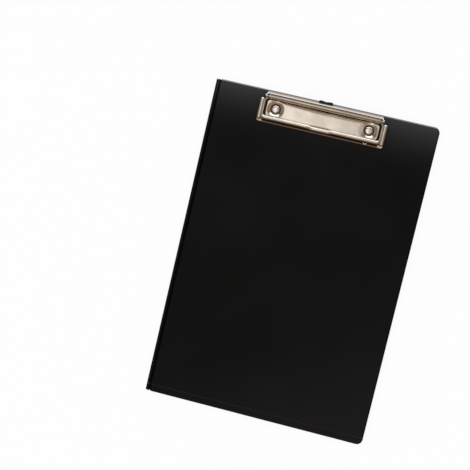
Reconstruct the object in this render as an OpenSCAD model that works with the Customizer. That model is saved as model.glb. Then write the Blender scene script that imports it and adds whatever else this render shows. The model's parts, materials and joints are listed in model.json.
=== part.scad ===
// Foldover clipboard for A4 paper. Two film-covered panels share one flexible spine.
// A low sprung clip and its pull-out hanger are riveted to the board. The cover is
// drawn folded right round behind the board, as it is while writing.
// Millimetres. +Z is up from the table, +Y points to the clip, +X to the free edge.
// The origin is the middle of the footprint, on the table.

/* [Panels] */
// Width at rest, from the folded spine to the free edge
overall_w = 226; // [222:1:236]
// Length of a panel, from the clip edge to the end of the weld flap
panel_len = 323; // [316:1:335]
// Thickness of the greyboard inside the board
board_core_t = 2.5; // [2:0.1:3.5]
// Thickness of the greyboard inside the cover
cover_core_t = 1.6; // [1.2:0.1:2.2]
// Thickness of one sheet of vinyl film
film_t = 0.3; // [0.25:0.05:0.4]
// Width of the flat weld round a panel
weld_w = 1.0; // [0.6:0.1:2]
// Width of the weld beside the spine
spine_weld_w = 0.4; // [0.3:0.1:1]
// Width of the slope where film climbs from the weld onto the greyboard
slope_w = 1.0; // [0.6:0.1:1.6]
// Width of the flat weld flap at the foot of a panel
flap_w = 7; // [4:0.5:10]
// Corner radius on the free side
free_corner_r = 6; // [4:0.5:9]
// Corner radius beside the spine
spine_corner_r = 3; // [2.5:0.5:5]
// Gap between the back of the board and the folded cover
cover_gap = 1.0; // [1:0.1:2]

/* [Spine] */
// Width of each half of the spine, from crease to crease
fold_w = 4.0; // [3.6:0.1:5]
// How far the spine stops short of the clip edge
spine_inset = 1.2; // [0.5:0.1:3]
// Gap between two films beside a crease when it is shut
crease_clear = 0.1; // [0.05:0.05:0.2]
// Distance from a side crease to the edge of the panel beside it
crease_edge = 0.45; // [0.4:0.05:0.6]

/* [Pocket] */
// Height of the storage pocket inside the cover
pocket_len = 285; // [150:1:300]
// Distance from the pocket's welded edges to the edges of the greyboard
pocket_margin = 1.5; // [1:0.5:4]
// Radius of the thumb notch in the pocket's mouth
pocket_notch_r = 14; // [8:1:25]

/* [Clip] */
// Width of the clip's rear wall
clip_w = 115.5; // [105:0.5:125]
// Width of the jaw over its wings
wing_span = 129; // [127:0.5:135]
// Distance from the clip edge to the jaw's lip
clip_depth = 31.3; // [30:0.1:34]
// Sideways shift of the clip from the middle of the overall width
clip_shift = -1.5; // [-6:0.5:6]
// Thickness of the clip's sheet metal
sheet_t = 0.7; // [0.5:0.05:0.8]
// Distance of the hinge rod in front of the clip edge
hinge_back = 5.4; // [5.2:0.1:6]
// Height of the hinge rod above the board
hinge_up = 5.0; // [4.8:0.1:6]
// Lean of the rear wall, in degrees
wall_lean = 17; // [10:1:22]
// Angle at which the rolled crest stops, in degrees from the front
crest_stop = 122; // [115:1:128]
// Outward flare of the ears, in degrees
ear_flare = 10; // [5:1:11]
// Height of the channel under the raised panel
channel_h = 2.3; // [2:0.1:2.6]
// Distance from the clip edge to the front of the raised panel
panel_front = 24.6; // [23.5:0.1:25]

/* [Jaw] */
// Height of the jaw's front bar above the board
bar_h = 6.0; // [5.5:0.1:7]
// Width of the jaw's front bar
bar_w = 3.9; // [3.4:0.1:4.4]
// Height of the wings above the board
wing_h = 5.3; // [4.8:0.1:6]
// Width of a wing
wing_w = 5.3; // [4.8:0.1:5.6]
// Width of a side bar of the jaw
side_bar_w = 2.3; // [2:0.1:2.6]
// Gap under the lip of the closed jaw
lip_gap = 0.3; // [0.2:0.1:0.6]
// Width of the thumb recess in the front bar
thumb_w = 27; // [20:1:36]
// Forward shift of the bar in the thumb recess
thumb_push = 1.2; // [0.6:0.1:1.5]
// Drop of the bar in the thumb recess
thumb_drop = 0.9; // [0.4:0.1:1.5]

/* [Hinge] */
// Diameter of the hinge rod
rod_d = 2.0; // [1.8:0.1:2.2]
// Radial running clearance of the rod in its bores
rod_clear = 0.05; // [0.03:0.01:0.08]
// Outer diameter of the rolled tube round the rod
tube_d = 5.5; // [5.4:0.1:5.7]
// Gap between the rolled tube and the crest over it
tube_gap = 0.25; // [0.2:0.05:0.4]
// Diameter of the spring wire
wire_d = 0.7; // [0.5:0.05:0.75]
// Number of turns in each spring
spring_turns = 7; // [4:1:10]
// Distance between neighbouring turns
spring_pitch = 1.2; // [1.15:0.05:1.4]

/* [Rivets] */
// Distance between the two rivets
rivet_spacing = 94; // [80:0.5:95]
// Distance of the rivets in front of the clip edge
rivet_back = 17; // [16.5:0.1:17.5]
// Diameter of the domed head
dome_d = 9; // [7:0.5:9.5]
// Height of the domed head
dome_h = 2.2; // [1.5:0.1:3]
// Diameter of the shank
shank_d = 4; // [3:0.1:4.5]
// Radial clearance of the shank in its holes
shank_clear = 0.1; // [0.05:0.05:0.2]
// Diameter of the flat seat pressed into the panel
dish_d = 10.4; // [10:0.1:10.8]
// Diameter of the washer on the back of the board
washer_d = 9; // [7:0.5:12]
// Thickness of the washer
washer_t = 0.4; // [0.3:0.05:0.5]
// Thickness of the rolled end of the shank
tail_t = 0.35; // [0.2:0.05:0.4]

/* [Eyelet] */
// Distance of the cord eyelet from the middle of the clip
eyelet_x = 44.5; // [20:0.5:50]
// Outer diameter of the cord eyelet
eyelet_d = 3.8; // [3:0.1:4]
// Bore of the cord eyelet
eyelet_bore = 2.0; // [1.5:0.1:2.2]
// Height of the cord eyelet
eyelet_h = 3.0; // [2.5:0.1:3.2]

/* [Hanger] */
// Width of the hanger's tongue
hanger_w = 14; // [12:0.5:16]
// Thickness of the hanger
hanger_t = 1.5; // [1.2:0.1:1.6]
// How far the hanger's tips stand out at rest
hanger_proud = 1.2; // [0.8:0.1:2]
// How far the hanger pulls out
hanger_travel = 14; // [10:0.5:14]
// Width of the hanging window
window_w = 8; // [7:0.5:9]
// Height of the hanging window
window_h = 5; // [4.5:0.5:5]
// Clearance between the hanger and its channel
hanger_clear = 0.15; // [0.1:0.05:0.25]

/* [Hidden] */
$fn = 48;

FILM = [0.11, 0.11, 0.12];
SEAM = [0.15, 0.15, 0.16];
GREYBOARD = [0.55, 0.52, 0.47];
NICKEL = [0.80, 0.76, 0.70];
STEEL = [0.62, 0.60, 0.57];
BLACK = [0.04, 0.04, 0.04];

// Heights of the two panels. A panel's films meet at its weld plane, half way up.
pocket_t = film_t;
cover_z = pocket_t + film_t + cover_core_t / 2;
cover_top = cover_z + cover_core_t / 2 + film_t;
board_back = cover_top + cover_gap;
board_z = board_back + film_t + board_core_t / 2;
board_top = board_z + board_core_t / 2 + film_t;

// The folded spine: two strips in a V, their side creases one above the other.
fold_a = asin((board_z - cover_z) / 2 / fold_w);
round_side = (film_t + crease_clear / 2) / sin(45);
round_mid = (film_t + crease_clear / 2) / sin(fold_a);
spine_reach = (fold_w - round_mid) * cos(fold_a) + film_t;
crease_x = -overall_w / 2 + spine_reach;

// Edges of a panel and of the greyboard inside it
panel_x0 = crease_x + crease_edge;
panel_x1 = overall_w / 2;
panel_y0 = -(panel_len + hanger_proud) / 2;
panel_y1 = panel_y0 + panel_len;
core_x0 = panel_x0 + spine_weld_w + slope_w;
core_x1 = panel_x1 - weld_w - slope_w;
core_y0 = panel_y0 + flap_w;
core_y1 = panel_y1 - weld_w - slope_w;
core_free_r = free_corner_r - weld_w - slope_w;
core_spine_r = spine_corner_r - spine_weld_w - slope_w;
core_fit = 0.05;
skin = 0.02;

// Clip: v runs forward from the clip edge, w runs up from the face of the board.
crest_r = tube_d / 2 + tube_gap + sheet_t / 2;
half_t = sheet_t / 2;
tube_bore = tube_d - 2 * sheet_t;
ear_gap = 0.45;
jaw_arm_x = clip_w / 2 - sheet_t - ear_gap - half_t;
tube_len = 2 * (jaw_arm_x + half_t);
panel_gap = 0.9;
base_panel_w = 2 * (jaw_arm_x - half_t - panel_gap);
foot_end = 6.9;
step_end = 8.0;
// Bend radius of the sheet, and how far joined stretches run into each other
bend = 0.35;
lap = 0.5;
panel_w_mid = channel_h + half_t;
ear_r = crest_r + half_t;
ear_front = 8.8;
wing_x = (wing_span - wing_w) / 2;
wing_r = wing_w / 2 - half_t;
wing_arch_w = wing_h - half_t - wing_r;
wing_start = 9.9;
wing_end = 27.6;
groove_w = lip_gap + half_t + 1.35;
bar_r = bar_w / 2 - half_t;
bar_front_slope = 20;
bar_back_drop = 0.9;
bar_fade = 3;
lip_front = clip_depth - 0.15;
lip_len = 1.0;
lip_rise = 0.25;
bar_v = clip_depth - 3.95;
bar_centre_w = bar_h - half_t - bar_r;
bar_end = wing_x - wing_w / 2 + 0.3;
thumb_kink = 6;
eyelet_v = lip_front - eyelet_d / 2 + 0.2;
notch_h = hanger_t + 2 * hanger_clear + 0.4;
notch_w = hanger_w + 4 * hanger_clear;
hanger_end = panel_front - half_t - 2 * hanger_clear;
hanger_head = hanger_end - step_end - hanger_travel - hanger_clear;
hanger_head_w = hanger_w + 6;
rod_head_d = rod_d * 1.5;
rod_head_t = 0.8;
spring_r = rod_d / 2 + wire_d / 2 + 0.15;
spring_rings = 8;
spring_sides = 6;
spring_leg = 2.1;
spring_x = jaw_arm_x - half_t - spring_leg - 0.1;

// ---- helpers ----

// Left normal of the step from a to b
function left_of(a, b) = [a[1] - b[1], b[0] - a[0]] / norm(b - a);
// Mitred normal at point i of a path
function mitre(p, i) =
  let (
    a = left_of(p[max(i - 1, 0)], p[max(i, 1)]),
    b = left_of(p[min(i, len(p) - 2)], p[min(i + 1, len(p) - 1)]),
    m = (a + b) / norm(a + b)
  ) m / (m * a);
// Outline of sheet metal of thickness t that follows a centre line
function sheet(p, t) = concat(
  [for (i = [0:len(p) - 1]) p[i] + mitre(p, i) * t / 2],
  [for (i = [len(p) - 1:-1:0]) p[i] - mitre(p, i) * t / 2]
);
// Points on an arc
function arc(c, r, a0, a1, n) =
  [for (i = [0:n]) let (a = a0 + (a1 - a0) * i / n) c + r * [cos(a), sin(a)]];
// Smooth step from 0 at a to 1 at b
function ease(x, a, b) = let (t = min(1, max(0, (x - a) / (b - a)))) t * t * (3 - 2 * t);

// Flat plate with two corner radii: rs beside the spine, rf on the free side
module plate(x0, y0, x1, y1, rs, rf, z0, z1) {
  h = z1 - z0;
  translate([0, 0, z0]) {
    translate([x0 + rs, y0, 0]) cube([x1 - rf - x0 - rs, y1 - y0, h]);
    translate([x0, y0 + rs, 0]) cube([rs * 2, y1 - y0 - 2 * rs, h]);
    translate([x1 - rf * 2, y0 + rf, 0]) cube([rf * 2, y1 - y0 - 2 * rf, h]);
    for (y = [y0 + rs, y1 - rs]) translate([x0 + rs, y, 0]) cylinder(h = h, r = rs);
    for (y = [y0 + rf, y1 - rf]) translate([x1 - rf, y, 0]) cylinder(h = h, r = rf);
  }
}

// The greyboard's outline, grown by g
module core_plate(g, z0, z1) {
  plate(core_x0 - g, core_y0 - g, core_x1 + g, core_y1 + g,
    core_spine_r + g, core_free_r + g, z0, z1);
}

// A loft between two grown outlines of the greyboard
module core_loft(g0, z0, g1, z1) {
  hull() {
    core_plate(g0, z0, z0 + skin, $fn = 32);
    core_plate(g1, z1 - skin, z1, $fn = 32);
  }
}

// The upper film of a panel whose weld plane is z = 0: flat weld, slope and face
module film(core_t) {
  difference() {
    union() {
      plate(panel_x0, panel_y0, panel_x1, panel_y1, spine_corner_r, free_corner_r, 0, film_t);
      core_loft(slope_w + film_t / 2, film_t - skin, core_fit + film_t / 2, core_t / 2 + film_t);
    }
    core_loft(slope_w, -skin, core_fit, core_t / 2);
  }
}

// Places something in the clip's frame: y = -v, z = w
module on_clip() {
  translate([clip_shift, panel_y1, board_top]) children();
}

// Extrudes a (v, w) outline across the clip
module across(width) {
  rotate([90, 0, -90]) linear_extrude(width, center = true) children();
}

// Extrudes an (x, w) outline forward from v0 to v1
module forward(v0, v1) {
  translate([0, -v0, 0]) rotate([90, 0, 0]) linear_extrude(v1 - v0) children();
}

// A cylinder along X, on the hinge line
module on_hinge(d, len) {
  translate([0, -hinge_back, hinge_up]) rotate([0, 90, 0]) cylinder(h = len, d = d, center = true);
}

module at_rivet(side) {
  on_clip() translate([side * rivet_spacing / 2, -rivet_back, 0]) children();
}

module rivet_holes() {
  for (side = [-1, 1])
    at_rivet(side) translate([0, 0, -20]) cylinder(h = 40, d = shank_d + 2 * shank_clear);
}

// ---- board ----

module board_core() {
  color(GREYBOARD) difference() {
    translate([0, 0, board_z]) core_plate(0, -board_core_t / 2, board_core_t / 2);
    rivet_holes();
  }
}

module board_front_film() {
  color(FILM) difference() {
    translate([0, 0, board_z]) film(board_core_t);
    rivet_holes();
  }
}

module board_back_film() {
  color(FILM) difference() {
    translate([0, 0, board_z]) mirror([0, 0, 1]) film(board_core_t);
    rivet_holes();
  }
}

// ---- spine ----

// One half of the spine: both films welded flat, with rounded long edges.
// It starts at r0 from the crease at its root and stops r1 short of the next.
module fold_strip(r0, r1) {
  length = panel_len - spine_inset;
  translate([0, panel_y0 + length, 0]) rotate([90, 0, 0]) linear_extrude(length) {
    translate([r0, -film_t]) square([fold_w - r0 - r1, 2 * film_t]);
    for (x = [r0, fold_w - r1]) translate([x, 0]) circle(r = film_t);
  }
}

module spine_upper_fold() {
  color(SEAM) translate([crease_x, 0, board_z])
    rotate([0, -(180 + fold_a), 0]) fold_strip(round_side, round_mid);
}

module spine_lower_fold() {
  color(SEAM) translate([crease_x, 0, cover_z])
    rotate([0, -(180 - fold_a), 0]) fold_strip(round_side, round_mid);
}

// ---- cover ----

module cover_core() {
  color(GREYBOARD) translate([0, 0, cover_z])
    core_plate(0, -cover_core_t / 2, cover_core_t / 2);
}

module cover_outer_film() {
  color(FILM) translate([0, 0, cover_z]) film(cover_core_t);
}

module cover_inner_film() {
  color(FILM) translate([0, 0, cover_z]) mirror([0, 0, 1]) film(cover_core_t);
}

// Open along its mouth, towards the clip edge, with a thumb notch
module inner_pocket() {
  m = pocket_margin;
  r = core_free_r;
  mouth = core_y0 + m + pocket_len;
  color(SEAM) difference() {
    plate(core_x0 + m, core_y0 + m, core_x1 - m, mouth, core_spine_r, r, 0, pocket_t);
    translate([0, mouth, -1]) cylinder(h = pocket_t + 2, r = pocket_notch_r);
  }
}

// ---- clip base ----

hinge = [hinge_back, hinge_up];
wall_top = hinge + crest_r * [cos(180 - wall_lean), sin(180 - wall_lean)];
wall_foot = wall_top + (wall_top[1] - half_t) / cos(wall_lean) * [-sin(wall_lean), -cos(wall_lean)];
crest_path = concat(
  arc(hinge, crest_r, crest_stop, 180 - wall_lean, 8),
  [wall_foot + [sin(wall_lean), cos(wall_lean)] * lap, wall_foot + [lap, 0], [foot_end / 2, half_t]]
);
base_path = [
  [foot_end / 2 - lap, half_t], [foot_end, half_t],
  [step_end, panel_w_mid], [panel_front - bend, panel_w_mid],
  [panel_front, panel_w_mid - bend], [panel_front, 0]
];

// Ear at one end of the crest. It holds the rod and flares outwards.
module ear(side) {
  root = hinge_back - ear_r;
  translate([side * clip_w / 2, -root, 0]) rotate([0, 0, side * ear_flare])
    translate([side < 0 ? 0 : -sheet_t, root, 0]) {
      translate([0, -hinge_back, hinge_up]) rotate([0, 90, 0]) cylinder(h = sheet_t, r = ear_r);
      translate([0, -ear_front, 0]) cube([sheet_t, ear_front - root - lap, hinge_up - lap]);
    }
}

// Flat seat under a rivet with the cone that climbs from it to the panel
dish_top_r = dish_d / 2 + (panel_w_mid - half_t) * 0.75;
module dish() {
  rotate_extrude() polygon(sheet([[shank_d / 2, half_t], [dish_d / 2, half_t],
    [dish_top_r, panel_w_mid], [dish_top_r + lap, panel_w_mid]], sheet_t));
}

module clip_base() {
  color(NICKEL) difference() {
    union() {
      difference() {
        on_clip() {
          across(clip_w) polygon(sheet(crest_path, sheet_t));
          across(base_panel_w) polygon(sheet(base_path, sheet_t));
          for (side = [-1, 1]) {
            ear(side);
            translate([side * (base_panel_w - sheet_t) / 2 - half_t, -panel_front, 0])
              cube([sheet_t, panel_front - step_end, panel_w_mid]);
          }
        }
        for (side = [-1, 1]) at_rivet(side)
          translate([0, 0, channel_h / 2]) cylinder(h = channel_h * 2, r = dish_top_r);
      }
      for (side = [-1, 1]) at_rivet(side) dish();
    }
    rivet_holes();
    on_clip() {
      on_hinge(rod_d + 2 * rod_clear, wing_span);
      translate([-notch_w / 2, -step_end - sheet_t, -1])
        cube([notch_w, step_end + sheet_t + 3, notch_h + 1]);
    }
  }
}

// ---- hinge rod and springs ----

module hinge_rod() {
  head_x = clip_w / 2 + (ear_r + rod_head_d / 2) * tan(ear_flare) + shank_clear;
  color(STEEL) on_clip() {
    on_hinge(rod_d, 2 * head_x);
    for (side = [-1, 1])
      translate([side * (head_x + rod_head_t / 2), -hinge_back, hinge_up])
        rotate([0, 90, 0]) cylinder(h = rod_head_t, d = rod_head_d, center = true);
  }
}

// Centre line of a torsion spring: one leg down to the foot of the base, the coil,
// then a leg along the rod into the jaw. x is the distance from the coil's start.
coil_n = spring_turns * spring_rings;
leg_foot = -hinge_up + sheet_t + wire_d / 2 + 0.05;
spring_path = concat(
  [[0, -spring_r, leg_foot], [0, -spring_r, leg_foot / 2]],
  [for (i = [0:coil_n]) let (a = 180 - 360 * i / spring_rings)
    [spring_pitch * i / spring_rings, spring_r * cos(a), spring_r * sin(a)]],
  [[spring_pitch * spring_turns + spring_leg, -spring_r, 0]]
);

function unit(v) = v / norm(v);
// A tube with spring_sides sides swept along a path
module wire(p, d) {
  n = len(p);
  s = spring_sides;
  dirs = [for (i = [0:n - 1]) unit(unit(p[min(i + 1, n - 1)] - p[max(i - 1, 0)]))];
  pts = [for (i = [0:n - 1]) let (
      ref = abs(dirs[i][0]) > 0.9 ? [0, 1, 0] : [1, 0, 0],
      u = unit(cross(dirs[i], ref)),
      w = cross(dirs[i], u)
    ) for (k = [0:s - 1]) p[i] + d / 2 * (u * cos(360 * k / s) + w * sin(360 * k / s))];
  faces = concat(
    [[for (k = [0:s - 1]) k]],
    [for (i = [0:n - 2], k = [0:s - 1]) let (a = i * s + k, b = i * s + (k + 1) % s)
      each [[a, a + s, b], [b, a + s, b + s]]],
    [[for (k = [s - 1:-1:0]) (n - 1) * s + k]]
  );
  polyhedron(pts, faces, convexity = 8);
}

module spring(side) {
  start = spring_x - spring_pitch * spring_turns;
  color(STEEL) on_clip() mirror([side < 0 ? 1 : 0, 0, 0])
    translate([start, -hinge_back, hinge_up]) mirror([0, 1, 0]) wire(spring_path, wire_d);
}

module spring_left() { spring(-1); }
module spring_right() { spring(1); }

// ---- jaw ----

// Centre line of the front bar and lip where the thumb recess is t deep (0 to 1)
// and the bar has run out by e at its ends (0 to 1)
function front_path(t, e) =
  let (
    c = [bar_v + thumb_push * t, bar_centre_w - thumb_drop * t - (bar_h - wing_arch_w) * 0.6 * e],
    s = arc(c, bar_r, 180, bar_front_slope, 6)
  ) concat([[c[0] - bar_r, c[1] - bar_back_drop]], s,
    [[lip_front - lip_len, lip_gap + half_t + lip_rise], [lip_front, lip_gap + half_t]]);

function front_stations() =
  let (
    steps = 5,
    half = concat([0],
      [for (i = [0:steps]) thumb_w / 2 - thumb_kink * (1 - i / steps)],
      [for (i = [0:steps - 1]) bar_end - bar_fade * (1 - i / (steps - 1))])
  ) concat([for (i = [len(half) - 1:-1:1]) -half[i]], half);

// Front bar, thumb recess, front face and lip as one lofted sheet
module jaw_front() {
  xs = front_stations();
  rings = [for (x = xs) sheet(front_path(
    1 - ease(abs(x), thumb_w / 2 - thumb_kink, thumb_w / 2),
    ease(abs(x), bar_end - bar_fade, bar_end)), sheet_t)];
  m = len(rings[0]);
  n = len(xs);
  pts = [for (i = [0:n - 1]) for (q = rings[i]) [xs[i], -q[0], q[1]]];
  h = m / 2;
  cap = [for (k = [0:h - 2]) each [[k, k + 1, m - 2 - k], [k, m - 2 - k, m - 1 - k]]];
  faces = concat(
    [for (f = cap) [f[0], f[1], f[2]]],
    [for (i = [0:n - 2], k = [0:m - 1]) let (a = i * m + k, b = i * m + (k + 1) % m)
      each [[a, a + m, b], [b, a + m, b + m]]],
    [for (f = cap) [f[2], f[1], f[0]] + (n - 1) * m * [1, 1, 1]]
  );
  polyhedron(pts, faces, convexity = 6);
}

// Side bar, groove and arched wing on the right, as an (x, w) centre line
side_path = let (
    x0 = jaw_arm_x,
    x1 = jaw_arm_x + side_bar_w - sheet_t,
    x2 = wing_x - wing_r,
    top = bar_h - half_t,
    b = bend
  ) concat(
    [[x0, groove_w], [x0, top - b], [x0 + b, top], [x1 - b, top], [x1, top - b],
      [x1, groove_w + b], [x1 + b, groove_w], [x2 - b, groove_w], [x2, groove_w + b]],
    arc([wing_x, wing_arch_w], wing_r, 180, 0, 8),
    [[wing_x + wing_r, lip_gap]]
  );

// Rounded end of a wing: half a dome on a short wall, turned by a
module wing_end_cap(v, a) {
  outer = wing_r + half_t;
  inner = wing_r - half_t;
  translate([wing_x, -v, 0]) rotate([0, 0, a]) rotate_extrude(angle = 180)
    polygon(concat(
      arc([0, wing_arch_w], outer, 90, 0, 6), [[outer, lip_gap], [inner, lip_gap]],
      arc([0, wing_arch_w], inner, 0, 90, 6)
    ));
}

module jaw_side() {
  forward(wing_start, wing_end) polygon(sheet(side_path, sheet_t));
  wing_end_cap(wing_start, 0);
  wing_end_cap(wing_end, 180);
  // Arm from the side bar back to the rod
  translate([jaw_arm_x - half_t, 0, 0]) {
    translate([0, -hinge_back, hinge_up]) rotate([0, 90, 0]) cylinder(h = sheet_t, d = tube_d);
    translate([0, -wing_start - lap, groove_w])
      cube([sheet_t, wing_start + lap - hinge_back, bar_h - half_t - bend - groove_w]);
  }
  // Lip in front of the wing
  translate([bar_end - 2 * lap, -lip_front, lip_gap])
    cube([wing_x + wing_r - bar_end, lip_front - wing_end - wing_r, sheet_t]);
}

module clip_jaw() {
  slot_a = [185, 252];
  color(NICKEL) on_clip() difference() {
    union() {
      difference() {
        on_hinge(tube_d, tube_len);
        on_hinge(tube_bore, tube_len - 2 * sheet_t);
      }
      jaw_front();
      jaw_side();
      mirror([1, 0, 0]) jaw_side();
    }
    on_hinge(rod_d + 2 * rod_clear, wing_span);
    // slots for the springs' fixed legs
    for (side = [-1, 1])
      translate([side * (spring_x - spring_pitch * spring_turns), 0, 0]) across(wire_d * 2)
        polygon(concat([hinge], arc(hinge, tube_d, slot_a[0], slot_a[1], 4)));
    // hole for the cord eyelet
    translate([eyelet_x, -eyelet_v, -1]) cylinder(h = bar_h, d = eyelet_d - 0.4);
  }
}

module cord_eyelet() {
  color(STEEL) on_clip() translate([eyelet_x, -eyelet_v, lip_gap]) difference() {
    cylinder(h = eyelet_h, d = eyelet_d - 0.5);
    translate([0, 0, -1]) cylinder(h = eyelet_h + 2, d = eyelet_bore);
  }
}

// ---- rivets ----

module rivet() {
  ball_r = (dome_d * dome_d / 4 + dome_h * dome_h) / (2 * dome_h);
  tail_z = -(board_top - board_back) - washer_t - tail_t;
  intersection() {
    translate([0, 0, sheet_t + dome_h - ball_r]) sphere(r = ball_r);
    translate([0, 0, sheet_t]) cylinder(h = dome_h + 1, d = dome_d + 2);
  }
  translate([0, 0, tail_z]) cylinder(h = sheet_t - tail_z + 0.1, d = shank_d);
  translate([0, 0, tail_z]) cylinder(h = tail_t, d = shank_d * 1.5);
}

module washer() {
  translate([0, 0, board_back - board_top - washer_t]) difference() {
    cylinder(h = washer_t, d = washer_d);
    translate([0, 0, -1]) cylinder(h = washer_t + 2, d = shank_d + 2 * shank_clear);
  }
}

module rivet_left() { color(STEEL) at_rivet(-1) rivet(); }
module rivet_right() { color(STEEL) at_rivet(1) rivet(); }
module rivet_washer_left() { color(STEEL) at_rivet(-1) washer(); }
module rivet_washer_right() { color(STEEL) at_rivet(1) washer(); }

// ---- hanger ----

// Tongue with a T-shaped inner end, a hanging window and a scalloped pull end
module hanger() {
  scallop_r = 9;
  scallop_depth = hanger_proud * 0.8;
  window_mid = 1.8 + window_h / 2;
  color(BLACK) on_clip() translate([0, 0, hanger_clear]) difference() {
    union() {
      translate([-hanger_w / 2, -hanger_end, 0]) cube([hanger_w, hanger_end + hanger_proud, hanger_t]);
      translate([-hanger_head_w / 2, -hanger_end, 0]) cube([hanger_head_w, hanger_head, hanger_t]);
    }
    translate([0, hanger_proud + scallop_r - scallop_depth, -1]) cylinder(h = hanger_t + 2, r = scallop_r);
    translate([0, -window_mid, -1]) {
      translate([-(window_w - window_h) / 2, -window_h / 2, 0])
        cube([window_w - window_h, window_h, hanger_t + 2]);
      for (side = [-1, 1])
        translate([side * (window_w - window_h) / 2, 0, 0]) cylinder(h = hanger_t + 2, d = window_h);
    }
  }
}

board_core();
board_front_film();
board_back_film();
spine_upper_fold();
spine_lower_fold();
cover_core();
cover_outer_film();
cover_inner_film();
inner_pocket();
clip_base();
hinge_rod();
spring_left();
spring_right();
clip_jaw();
cord_eyelet();
rivet_left();
rivet_right();
rivet_washer_left();
rivet_washer_right();
hanger();
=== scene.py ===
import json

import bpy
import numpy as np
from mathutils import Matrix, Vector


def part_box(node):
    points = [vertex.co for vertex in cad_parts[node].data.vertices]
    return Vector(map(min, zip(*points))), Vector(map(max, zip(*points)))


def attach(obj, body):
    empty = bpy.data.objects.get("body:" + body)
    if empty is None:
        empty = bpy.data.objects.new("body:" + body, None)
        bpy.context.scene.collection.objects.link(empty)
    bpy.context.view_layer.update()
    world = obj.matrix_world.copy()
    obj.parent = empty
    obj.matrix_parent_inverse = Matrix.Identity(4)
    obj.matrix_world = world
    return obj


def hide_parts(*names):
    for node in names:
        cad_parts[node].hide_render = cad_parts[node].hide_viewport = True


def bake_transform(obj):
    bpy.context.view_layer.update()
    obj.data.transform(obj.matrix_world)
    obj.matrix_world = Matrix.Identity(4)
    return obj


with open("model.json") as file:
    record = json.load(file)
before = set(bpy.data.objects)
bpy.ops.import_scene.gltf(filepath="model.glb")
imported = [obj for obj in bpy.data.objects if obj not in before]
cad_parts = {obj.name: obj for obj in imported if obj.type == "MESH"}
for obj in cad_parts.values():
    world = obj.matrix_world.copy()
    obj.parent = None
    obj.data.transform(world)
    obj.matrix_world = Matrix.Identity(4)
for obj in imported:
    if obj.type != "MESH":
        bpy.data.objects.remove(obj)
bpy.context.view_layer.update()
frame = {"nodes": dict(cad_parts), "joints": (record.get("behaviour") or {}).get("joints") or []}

# %% [markdown]
# # A foldover clipboard for A4 paper
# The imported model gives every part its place. This lesson dresses it: black film that is
# welded round two boards, a folded spine, and a bright plated clip. Each part is a surface
# worked out as whole numpy arrays, because pressed sheet metal and welded film are just
# that: a thin sheet that follows a few lines and arcs.

MM = 0.001


def box_mm(node):
    """Lowest and highest corner of a node of the model, in millimetres."""
    low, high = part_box(node)
    return np.array(low) / MM, np.array(high) / MM


# %% [markdown]
# ## The main places
# The lengths that matter come from the model: the edges of the panels, the heights where
# two films are welded together, and the clip's own axes. In the clip's frame x runs across,
# v runs forward from the clip edge and w runs up from the face of the board.

# %% Edges, heights and the clip's frame
panel_low, panel_high = box_mm("board_front_film")
panel_x0, panel_y0 = panel_low[:2]
panel_x1, panel_y1 = panel_high[:2]
board_top = panel_high[2]
core_low, core_high = box_mm("board_core")
board_z = (core_low[2] + core_high[2]) / 2
board_core_t = core_high[2] - core_low[2]
cover_low, cover_high = box_mm("cover_core")
cover_z = (cover_low[2] + cover_high[2]) / 2
cover_core_t = cover_high[2] - cover_low[2]
film_t = board_top - core_high[2]

clip_low, clip_high = box_mm("clip_base")
clip_x = (clip_low[0] + clip_high[0]) / 2
joint_at = {j["name"]: np.array(j.get("pos_m", (0, 0, 0))) / MM for j in frame["joints"]}
hinge_v = panel_y1 - joint_at["jaw_lift"][1]
hinge_w = joint_at["jaw_lift"][2] - board_top
print(f"panel {panel_x1 - panel_x0:.1f} x {panel_y1 - panel_y0:.1f} mm, face at {board_top:.2f}")
print(f"hinge {hinge_v:.2f} mm in front of the edge, {hinge_w:.2f} mm above the face")

# %% [markdown]
# ## From arrays to meshes
# A surface is a grid of points, and its faces are the cells between them. A closed outline
# makes a grid that wraps round. Its two ends are closed by a strip of cells across the
# outline, from each point to the one opposite. Where the shape is sheet metal, only the
# middle of the sheet is worked out, and one function gives it thickness and soft edges.

# %% Grids, shells and pieces


def grid_cells(rows, columns, wrap=False):
    """Four-sided cells of a grid of points, row by row; wrap joins the last column to the first."""
    i = np.arange(rows - 1)[:, None]
    j = np.arange(columns if wrap else columns - 1)[None, :]
    a = i * columns + j
    b = i * columns + (j + 1) % columns
    return np.stack([a, b, b + columns, a + columns], -1).reshape(-1, 4)


def closing_strip(n, wide=False):
    """Cells across a closed outline of n points, from point s to point n - 1 - s opposite. A wide
    outline is crossed the short way, so the count starts a quarter of the way round."""
    s = np.arange(n // 2 - 1)
    return (np.stack([s, s + 1, n - 2 - s, n - 1 - s], -1) + (n // 4 if wide else 0)) % n


def stack_of_outlines(x, y, z, close_first=True, close_last=True, wide=False):
    """Surface through a stack of closed outlines (rows), closed across its first and last one."""
    rows, n = x.shape
    cells = [grid_cells(rows, n, wrap=True)]
    if close_first:
        cells.append(closing_strip(n, wide)[:, ::-1])
    if close_last:
        cells.append(closing_strip(n, wide) + (rows - 1) * n)
    return np.stack([x, y, z], -1).reshape(-1, 3), np.concatenate(cells)


def outward(points, cells):
    """Turns a closed surface so that its cells face out: its volume, summed over cells, is positive."""
    a, b, c, d = (points[cells[:, k]] for k in range(4))
    volume = (np.einsum("ij,ij->i", a, np.cross(b, c)) + np.einsum("ij,ij->i", a, np.cross(c, d))).sum()
    return (points, cells) if volume > 0 else (points, cells[:, ::-1])


def merged(*surfaces):
    """Several surfaces as one, each with its own points."""
    counts = np.cumsum([0] + [len(p) for p, _ in surfaces[:-1]])
    points = np.concatenate([p for p, _ in surfaces])
    return points, np.concatenate([c + n for (_, c), n in zip(surfaces, counts)])


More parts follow.
